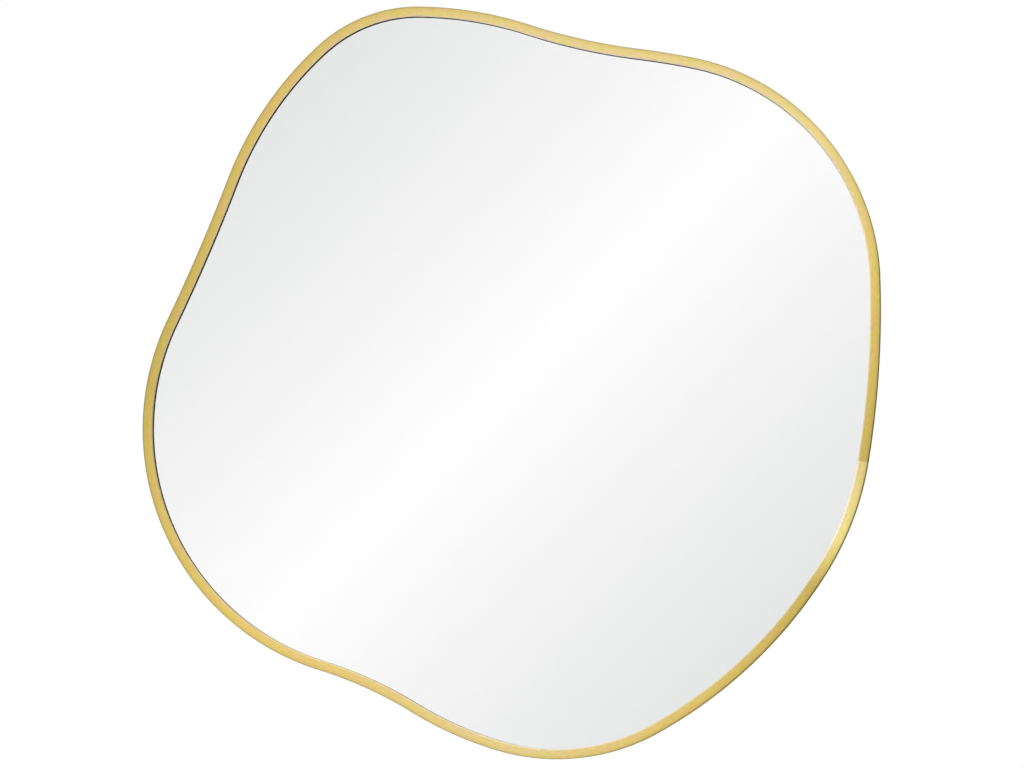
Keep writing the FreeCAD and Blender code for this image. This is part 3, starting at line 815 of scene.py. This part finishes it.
@dataclass(frozen=True)
class Fibreboard:
    """Pressed wood fibre: warm brown with fine flecks, and darker sawn edges."""

    tone: Triple = linear(172, 138, 102)
    shade: Triple = linear(152, 118, 84)
    fibre_grain: Triple = (700.0, 700.0, 260.0)
    crossed_grain: Triple = (240.0, 700.0, 760.0)
    fleck_light: tuple[tuple[float, float], ...] = ((0.12, 0.62), (0.24, 0.98), (0.42, 1.12))
    edge_share: float = 0.45
    edge_light: float = 0.5

    def material(self) -> bpy.types.Material:
        """Builds the finish.

        Returns:
            The material.
        """
        material, tree = new_material("fibreboard")
        place = tree.local()
        clouds = tree.noise(place, scale=9.0, detail=4.0, rough=0.6)
        fibres = tree.noise(tree.local(self.fibre_grain), detail=5.0, rough=0.7)
        crossed = tree.noise(tree.local(self.crossed_grain), detail=5.0, rough=0.7)
        flecks = tree.sum("MULTIPLY", fibres, crossed)
        flecked = tree.tones(flecks, [(share, grey(light)) for share, light in self.fleck_light])
        tone = tree.blend(clouds, self.shade, self.tone)
        tone = tree.blend(1.0, tone, flecked, Mix.MULTIPLY)
        facing = tree.sum("ABSOLUTE", tree.part(tree.node("NewGeometry").outputs["Normal"], "Y"))
        sawn = tree.spread(facing, self.edge_share, 0.0, start=0.2, end=0.8)
        tone = tree.blend(sawn, tone, tuple(self.edge_light * value for value in self.shade))
        tree.surface(
            Base_Color=tone,
            Roughness=tree.spread(flecks, 0.72, 0.9, start=0.1, end=0.4),
            Normal=tree.relief(flecks, depth=0.2 * MM, strength=0.5),
        )
        return material


@dataclass(frozen=True)
class StudioFloor:
    """A plain pale floor that fades into the white round it."""

    tone: Triple = grey(0.9)
    shade: Triple = grey(0.8865)
    solid_to: float = 1.5
    gone_by: float = 4.5

    def material(self) -> bpy.types.Material:
        """Builds the finish.

        Returns:
            The material.
        """
        material, tree = new_material("studio_floor")
        length = tree.node("VectorMath", operation="LENGTH")
        tree.feed(length.inputs[0], tree.local())
        away = tree.spread(length.outputs["Value"], 0.0, 1.0, self.solid_to, self.gone_by)
        matt = tree.node("BsdfDiffuse")
        speckle = tree.noise(tree.local(), scale=40.0, detail=2.0)
        tree.fill(matt, Color=tree.blend(speckle, self.tone, self.shade))
        mixed = tree.node("MixShader")
        clear = tree.node("BsdfTransparent")
        for socket, source in zip(mixed.inputs, (away, matt.outputs[0], clear.outputs[0])):
            tree.feed(socket, source)
        tree.close(mixed.outputs[0])
        return material


@dataclass(frozen=True)
class BandedScrim:
    """A lit scrim with one soft bright band across it, for the pane to reflect."""

    peak: float = 1.156
    reach: float = 1.6
    ridge: float = -0.423
    falling: tuple[tuple[float, float], ...] = (
        (0.0, 1.0),
        (0.085, 0.965),
        (0.24, 0.902),
        (0.56, 0.79),
        (1.0, 0.63),
    )
    cool: Triple = (0.982, 1.0, 0.991)
    cool_from: float = 0.42
    cool_by: float = 0.58
    edge_from: float = 2.1
    edge_by: float = 3.1

    def material(self) -> bpy.types.Material:
        """Builds the finish.

        Returns:
            The material.
        """
        material, tree = new_material("banded_scrim")
        place = tree.local()
        across = tree.sum("SUBTRACT", tree.part(place, "X"), tree.part(place, "Z"))
        away = tree.sum("ABSOLUTE", tree.sum("SUBTRACT", across, self.ridge))
        far = tree.spread(away, 0.0, 1.0, 0.0, self.reach)
        glow = tree.tones(far, [(share, grey(value * self.peak)) for share, value in self.falling])
        outer = tree.spread(away, 0.0, 1.0, self.cool_from, self.cool_by)
        chill = tree.tones(outer, [(0.0, WHITE), (1.0, self.cool)])
        banded = tree.blend(1.0, glow, chill, Mix.MULTIPLY)
        out = tree.sum("MAXIMUM", *(tree.sum("ABSOLUTE", tree.part(place, axis)) for axis in "XZ"))
        rim = tree.spread(out, 0.0, 1.0, self.edge_from, self.edge_by)
        lit = tree.node("Emission")
        tree.fill(lit, Color=tree.blend(rim, banded, WHITE))
        tree.close(lit.outputs[0])
        return material


@dataclass(frozen=True)
class HungCloth:
    """Cloth hung out of sight for metal edges to reflect; its glow changes towards its top."""

    name: str
    low: float
    high: float
    low_at: float = 0.2
    high_at: float = 2.2
    weave_light: float = 0.94

    def material(self) -> bpy.types.Material:
        """Builds the finish.

        Returns:
            The material.
        """
        material, tree = new_material(self.name)
        up = tree.part(tree.local(), "Z")
        weave = tree.noise(tree.local(), scale=3.0, detail=2.0)
        lit = tree.node("Emission")
        glow = tree.spread(up, self.low, self.high, self.low_at, self.high_at)
        tree.fill(lit, Color=tree.blend(weave, WHITE, grey(self.weave_light)), Strength=glow)
        tree.close(lit.outputs[0])
        return material


# ---- Pieces ----
@dataclass
class Skin:
    """Faces in the making, with a normal and a layer place for each of their corners."""

    faces: list[tuple[int, ...]] = field(default_factory=list)
    normals: list[Triple] = field(default_factory=list)
    layer: list[tuple[float, float]] = field(default_factory=list)

    def add(self, corners: list[tuple[int, Triple, tuple[float, float]]]) -> None:
        """Adds a face.

        Args:
            corners: the vertex, the normal and the layer place of each corner.
        """
        vertices, normals, places = zip(*corners)
        self.faces.append(vertices)
        self.normals += normals
        self.layer += places


@dataclass
class FrameBar:
    """The bent bar: an angle section swept round the outline, its ends meeting at the seam."""

    outline: Outline
    front: float = -26.0
    rear: float = -1.0
    lip_back: float = -24.0
    lip_width: float = 12.7
    wall: float = 2.0
    bevel: float = 1.4
    edge_rounding: float = 0.3
    lip_rounding: float = 0.2
    inner_rounding: float = 0.8
    step: float = 4.5
    half_gap: float = 0.03
    seam_break: float = 0.08

    def __post_init__(self) -> None:
        """Rounds the section, the solid on its left hand, and finds the places that it passes."""
        edge = self.edge_rounding
        self.section = rounded_section(
            [
                Corner(0.0, self.rear, edge),
                Corner(0.0, self.front, edge, steps=4),
                Corner(self.lip_width - self.bevel, self.front, edge),
                Corner(self.lip_width, self.front + self.bevel, edge),
                Corner(self.lip_width, self.lip_back, self.lip_rounding),
                Corner(self.wall, self.lip_back, self.inner_rounding, steps=4),
                Corner(self.wall, self.rear, edge),
            ]
        )
        first, last = self.half_gap, self.outline.length - self.half_gap
        between = self.outline.stations(first + self.seam_break, last - self.seam_break, self.step)
        self.places = [first, *between, last]

    def shrink(self, ring: int) -> float:
        """How far the section is drawn in at a place, to break the edges of the seam."""
        return self.seam_break if ring in (0, len(self.places) - 1) else 0.0

    def outward(self, along: float) -> tuple[float, float]:
        """The outward direction at a place along the bar, as its parts to the right and up."""
        return heading(self.outline.point(along, 0.0)[2])

    def corner(self, ring: int, k: int, across: float) -> tuple[int, Triple, tuple[float, float]]:
        """A corner of one of the bar's long faces.

        Args:
            ring: which place along the bar it is at.
            k: which point of the section it is.
            across: its place along the section.

        Returns:
            Its vertex, its normal and its layer place.
        """
        point, along = self.section[k], self.places[ring]
        right, up = self.outward(along)
        normal = (-point.normal_in * right, point.normal_deep, -point.normal_in * up)
        return ring * len(self.section) + k, normal, (along * MM, across * MM)

    def sweep(self) -> list[Triple]:
        """Carries the section through every place.

        Returns:
            The vertices, place after place.
        """
        vertices = []
        for ring, along in enumerate(self.places):
            shrink = self.shrink(ring)
            for point in self.section:
                right, up, _ = self.outline.point(along, point.inset - shrink * point.normal_in)
                vertices.append((right * MM, (point.depth - shrink * point.normal_deep) * MM, up * MM))
        return vertices

    def skin(self) -> Skin:
        """Joins place to place, and closes both ends.

        Returns:
            The faces.
        """
        skin = Skin()
        start, end = self.section[0], self.section[-1]
        around = end.developed + math.dist((end.inset, end.depth), (start.inset, start.depth))
        count, last = len(self.section), len(self.places) - 1
        for ring in range(last):
            for k in range(count):
                following = (k + 1) % count
                here = self.section[k].developed
                ahead = self.section[following].developed if following else around
                skin.add(
                    [
                        self.corner(ring, k, here),
                        self.corner(ring + 1, k, here),
                        self.corner(ring + 1, following, ahead),
                        self.corner(ring, following, ahead),
                    ]
                )
        for ring, side, order in ((0, 1.0, range(count)), (last, -1.0, range(count - 1, -1, -1))):
            right, up = self.outward(self.places[ring])
            facing = (up * side, 0.0, -right * side)
            along = self.places[ring] * MM
            skin.add([(ring * count + k, facing, (along, self.section[k].developed * MM)) for k in order])
        return skin

    def build(self) -> bpy.types.Object:
        """Makes the bar and hangs it on the mirror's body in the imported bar's place.

        Returns:
            The bar.
        """
        face_start = next(point.developed for point in self.section if point.depth <= self.front) * MM
        skin = self.skin()
        mesh = bpy.data.meshes.new("brass_bar")
        mesh.from_pydata(self.sweep(), [], skin.faces)
        mesh.polygons.foreach_set("use_smooth", [True] * len(skin.faces))
        uv = mesh.uv_layers.new(name=BrushedBrass.layer)
        uv.data.foreach_set("uv", [value for pair in skin.layer for value in pair])
        mesh.normals_split_custom_set(skin.normals)
        mesh.update()
        finish = BrushedBrass(length=self.outline.length * MM, face_start=face_start)
        bar = mesh_piece("brass_bar", mesh, finish.material())
        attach(bar, "mirror")
        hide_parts("frame_bar")
        report.info("brass_bar built, %d faces", len(skin.faces))
        return bar


@dataclass
class OutlinePiece:
    """A piece that follows the outline: loops at set insets and depths, joined one to the next.

    The slip is how far the piece has settled off its true place, to the right and up, in millimetres.
    """

    name: str
    node: str
    slot: str
    step: float = 4.5
    slip: tuple[float, float] = (0.0, 0.0)

    def loops(self) -> list[tuple[float, float]]:
        """The inset and depth of each loop."""
        raise NotImplementedError

    def is_ring(self) -> bool:
        """Whether the last loop joins the first, rather than each closing with a face."""
        return False

    def build(self, outline: Outline, material: bpy.types.Material) -> bpy.types.Object:
        """Makes the piece and hangs it on the mirror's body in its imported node's place.

        Args:
            outline: the mirror's outline.
            material: the piece's finish.

        Returns:
            The piece.
        """
        places = outline.stations(0.0, outline.length, self.step)[:-1]
        loops = self.loops()
        vertices = []
        for inset, depth in loops:
            for place in places:
                right, up, _ = outline.point(place, inset)
                vertices.append(((right + self.slip[0]) * MM, depth * MM, (up + self.slip[1]) * MM))
        count, levels = len(places), len(loops)
        faces = []
        for level in range(levels if self.is_ring() else levels - 1):
            low, high = level * count, (level + 1) % levels * count
            for k in range(count):
                following = (k + 1) % count
                faces.append((low + following, low + k, high + k, high + following))
        sides = len(faces)
        if not self.is_ring():
            faces += [tuple(range(count)), tuple(range(levels * count - 1, (levels - 1) * count - 1, -1))]
        mesh = bpy.data.meshes.new(self.name)
        mesh.from_pydata(vertices, [], faces)
        mesh.polygons.foreach_set("use_smooth", [k < sides for k in range(len(faces))])
        mesh.update()
        piece = mesh_piece(self.name, mesh, material)
        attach(piece, "mirror")
        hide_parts(self.node)
        report.info("%s built, %d faces", self.name, len(faces))
        return piece


@dataclass
class EdgedPlate(OutlinePiece):
    """A flat sheet cut to the outline, with its sharp edges taken off."""

    front: float = 0.0
    back: float = 0.0
    arris: float = 0.1
    inset: float = 4.0

    def loops(self) -> list[tuple[float, float]]:
        """The loops, front to back.

        Returns:
            The inset and depth of each.
        """
        return [
            (self.inset + self.arris, self.front),
            (self.inset, self.front + self.arris),
            (self.inset, self.back - self.arris),
            (self.inset + self.arris, self.back),
        ]


@dataclass
class FoamRing(OutlinePiece):
    """The foam ring under the lip, squeezed out past the lip's edge by a hair."""

    front: float = -24.0
    back: float = -21.5
    outer: float = 4.0
    inner: float = 12.9
    bulge: float = 0.5

    def is_ring(self) -> bool:
        """The foam is a ring."""
        return True

    def loops(self) -> list[tuple[float, float]]:
        """The loops round the foam's section.

        Returns:
            The inset and depth of each.
        """
        return [
            (self.inner - self.bulge, self.front),
            (self.inner, self.front + self.bulge),
            (self.inner, self.back - self.bulge),
            (self.inner - self.bulge, self.back),
            (self.outer, self.back),
            (self.outer, self.front),
        ]


@dataclass
class MirrorPack:
    """What lies in the bar, front to back."""

    outline: Outline
    glass: EdgedPlate = field(
        default_factory=lambda: EdgedPlate(
            "float_glass", "glass_pane", "clear_glass", front=-21.5, back=-17.5, arris=0.5
        )
    )
    silver: EdgedPlate = field(
        default_factory=lambda: EdgedPlate(
            "silvering", "silver_layer", "silvering", front=-17.46, back=-17.3, arris=0.02
        )
    )
    foam: FoamRing = field(
        default_factory=lambda: FoamRing("foam_ring", "lip_gasket", "black_foam", slip=(0.15, -0.32))
    )

    def build(self) -> None:
        """Cuts the glass, its silvering and the foam before it."""
        soft_black = DullSolid(
            "black_foam",
            tone=(0.014, 0.014, 0.015),
            shade=(0.008, 0.008, 0.009),
            roughness=0.9,
            grain=2400.0,
            depth=0.3 * MM,
        )
        self.glass.build(self.outline, FloatGlass().material())
        self.silver.build(self.outline, SilverCoat().material())
        self.foam.build(self.outline, soft_black.material())

    def dress(self) -> None:
        """Gives each packed layer its finish."""
        tape = DullSolid(
            "foam_tape",
            tone=(0.62, 0.63, 0.62),
            shade=(0.5, 0.51, 0.5),
            roughness=0.8,
            grain=1500.0,
            depth=0.2 * MM,
        )
        film = DullSolid(
            "grey_film",
            tone=(0.3, 0.31, 0.32),
            shade=(0.25, 0.26, 0.27),
            roughness=0.45,
            grain=900.0,
            depth=0.05 * MM,
        )
        dress("shatter_film", film.material())
        dress("mounting_tapes", tape.material())
        dress("backer_board", Fibreboard().material())


@dataclass
class Fixings:
    """The clips, screws, hangers, joiner plate and bumpers."""

    sides: tuple[str, str] = ("left", "right")
    bumpers: tuple[str, ...] = ("upper_left", "upper_right", "lower_left", "lower_right")

    def dress(self) -> None:
        """Gives each fixing its finish."""
        steel = PlatedSteel(
            "zinc_steel", tone=(0.66, 0.67, 0.68), shade=(0.52, 0.53, 0.55), roughness=0.36
        ).material()
        screw = PlatedSteel(
            "zinc_screw", tone=(0.7, 0.7, 0.69), shade=grey(0.58), roughness=0.27, grain=500.0
        ).material()
        strap = PlatedSteel(
            "nickel_strap", tone=(0.68, 0.66, 0.62), shade=(0.56, 0.54, 0.51), roughness=0.24, grain=180.0
        ).material()
        wire = PlatedSteel(
            "nickel_wire", tone=(0.76, 0.74, 0.7), shade=(0.64, 0.62, 0.59), roughness=0.16, grain=300.0
        ).material()
        rubber = DullSolid(
            "black_rubber",
            tone=(0.03, 0.03, 0.032),
            shade=(0.018, 0.018, 0.02),
            roughness=0.62,
            grain=1800.0,
            depth=0.1 * MM,
        ).material()
        dress("retaining_clips", steel)
        dress("joiner_plate", steel)
        dress("clip_screws", screw)
        for side in self.sides:
            dress(side + "_hanger_screws", screw)
            dress(side + "_hanger_strap", strap)
            dress(side + "_hanger_ring", wire)
        for place in self.bumpers:
            dress(place + "_bumper", rubber)


# ---- Studio ----
@dataclass(frozen=True)
class SoftBox:
    """A soft area lamp: where it stands, its size and its power."""

    name: str
    place: Triple
    size: float
    power: float


@dataclass
class Studio:
    """Floor, screens, lamps and world."""

    floor_level: float = -0.66
    floor_half: float = 5.0
    floor_gap: float = 0.02
    scrim_away: float = -3.0
    scrim_half: float = 3.2
    flag_away: float = 1.6
    flag_half: float = 1.3
    side_away: float = 2.0
    side_half: float = 0.7
    side_top: float = 2.4
    shade_top: float = 1.4
    ambient: float = 0.55
    lamps: tuple[SoftBox, ...] = (
        SoftBox("key_lamp", (-2.4, -3.4, 2.8), 2.6, 90.0),
        SoftBox("fill_lamp", (3.0, -2.6, 1.2), 2.2, 40.0),
        SoftBox("rear_left_lamp", (-2.4, 3.0, 2.2), 2.2, 60.0),
        SoftBox("rear_right_lamp", (2.6, 2.6, 1.4), 2.2, 40.0),
    )

    def card(self, name: str, corners: list[Triple], material: bpy.types.Material) -> bpy.types.Object:
        """A flat piece of the studio.

        Args:
            name: its name.
            corners: its corners in order.
            material: its finish.

        Returns:
            The card.
        """
        mesh = bpy.data.meshes.new(name)
        mesh.from_pydata(corners, [], [tuple(range(len(corners)))])
        made = mesh_piece(name, mesh, material)
        return made

    def build(self) -> None:
        """Builds the floor, the screens, the lamps and the world."""
        half = self.floor_half
        floor = [(-half, -half, 0.0), (half, -half, 0.0), (half, half, 0.0), (-half, half, 0.0)]
        ground = self.card("studio_floor", floor, StudioFloor().material())
        ground.location.z = self.floor_level
        scrim = self.upright(self.scrim_away, self.scrim_half)
        self.hang("reflected_scrim", scrim, BandedScrim().material())
        flag = self.upright(self.flag_away, self.flag_half)
        self.hang("rear_flag", flag, HungCloth("dark_flag", low=0.08, high=0.3).material())
        side, deep, top = self.side_away, self.side_half, self.side_top
        lit = HungCloth("side_cloth", low=1.6, high=1.5).material()
        self.hang("left_cloth", self.flank(-side, deep, top), lit)
        overhead = [(-side, -deep, top), (side / 2, -deep, top), (side / 2, deep, top), (-side, deep, top)]
        self.hang("overhead_cloth", overhead, lit)
        shade = self.flank(side, deep, self.shade_top)
        self.hang("right_shade", shade, HungCloth("grey_shade", low=0.42, high=0.5).material())
        for lamp in self.lamps:
            self.light(lamp)
        self.surround()

    def upright(self, away: float, half: float) -> list[Triple]:
        """The corners of a square across the room, so far behind the wall's plane."""
        return [(-half, away, -half), (half, away, -half), (half, away, half), (-half, away, half)]

    def flank(self, away: float, half: float, top: float) -> list[Triple]:
        """The corners of a card that stands on the floor, so far to the right of the object."""
        foot = self.floor_level + self.floor_gap
        return [(away, -half, foot), (away, half, foot), (away, half, top), (away, -half, top)]

    def hang(self, name: str, corners: list[Triple], material: bpy.types.Material) -> None:
        """Hangs a card that is seen only in shiny surfaces.

        Args:
            name: its name.
            corners: its corners in order.
            material: its finish.
        """
        made = self.card(name, corners, material)
        made.visible_camera = False
        made.visible_diffuse = False
        made.visible_shadow = False

    def light(self, lamp: SoftBox) -> None:
        """Hangs one lamp, aimed at the middle of the mirror.

        Args:
            lamp: the lamp.
        """
        data = bpy.data.lights.new(lamp.name, "AREA")
        data.shape = "SQUARE"
        data.size = lamp.size
        data.energy = lamp.power
        hung = bpy.data.objects.new(lamp.name, data)
        hung.location = lamp.place
        hung.rotation_euler = (-Vector(lamp.place)).to_track_quat("-Z", "Y").to_euler()
        hung.visible_glossy = False
        hung.visible_transmission = False
        bpy.context.scene.collection.objects.link(hung)

    def surround(self) -> None:
        """Lights the object evenly, and shows white to the camera, to metal and to glass."""
        world = bpy.data.worlds.new("white_surround")
        bpy.context.scene.world = world
        world.use_nodes = True
        tree = Finish(world.node_tree)
        path = tree.node("LightPath")
        seen = path.outputs[RayKind.CAMERA.value]
        for kind in (RayKind.GLOSSY, RayKind.TRANSMISSION):
            seen = tree.sum("MAXIMUM", seen, path.outputs[kind.value])
        back = tree.node("Background")
        tree.fill(back, Color=WHITE, Strength=tree.spread(seen, self.ambient, 1.0))
        tree.close(back.outputs[0], "OutputWorld")


@dataclass
class StudioCamera:
    """The camera of the photograph: far off, a little to the right of the mirror and below it."""

    aim: Triple = (0.00267, -0.026, -0.00294)
    distance: float = 9.0
    off_normal: float = 6.0
    bearing: float = -27.0
    lens: float = 250.5
    sensor_width: float = 36.0
    sight: float = 60.0

    def place(self) -> None:
        """Sets the camera up."""
        ahead, aside = heading(self.off_normal)
        right, up = heading(self.bearing)
        towards = Vector((aside * right, -ahead, aside * up))
        data = bpy.data.cameras.new("studio_camera")
        data.lens = self.lens
        data.sensor_width = self.sensor_width
        data.clip_end = self.sight
        camera = bpy.data.objects.new("studio_camera", data)
        camera.location = Vector(self.aim) + towards * self.distance
        camera.rotation_euler = (-towards).to_track_quat("-Z", "Y").to_euler()
        bpy.context.scene.collection.objects.link(camera)
        bpy.context.scene.camera = camera


def main() -> None:
    """Builds the bar, dresses the solids and sets up the studio."""
    logging.basicConfig(level=logging.INFO, format="%(name)s: %(message)s")
    outline = Outline()
    FrameBar(outline).build()
    pack = MirrorPack(outline)
    pack.build()
    pack.dress()
    Fixings().dress()
    Studio().build()
    StudioCamera().place()
    bpy.context.scene.view_settings.view_transform = "Standard"


if __name__ == "__main__":
    main()
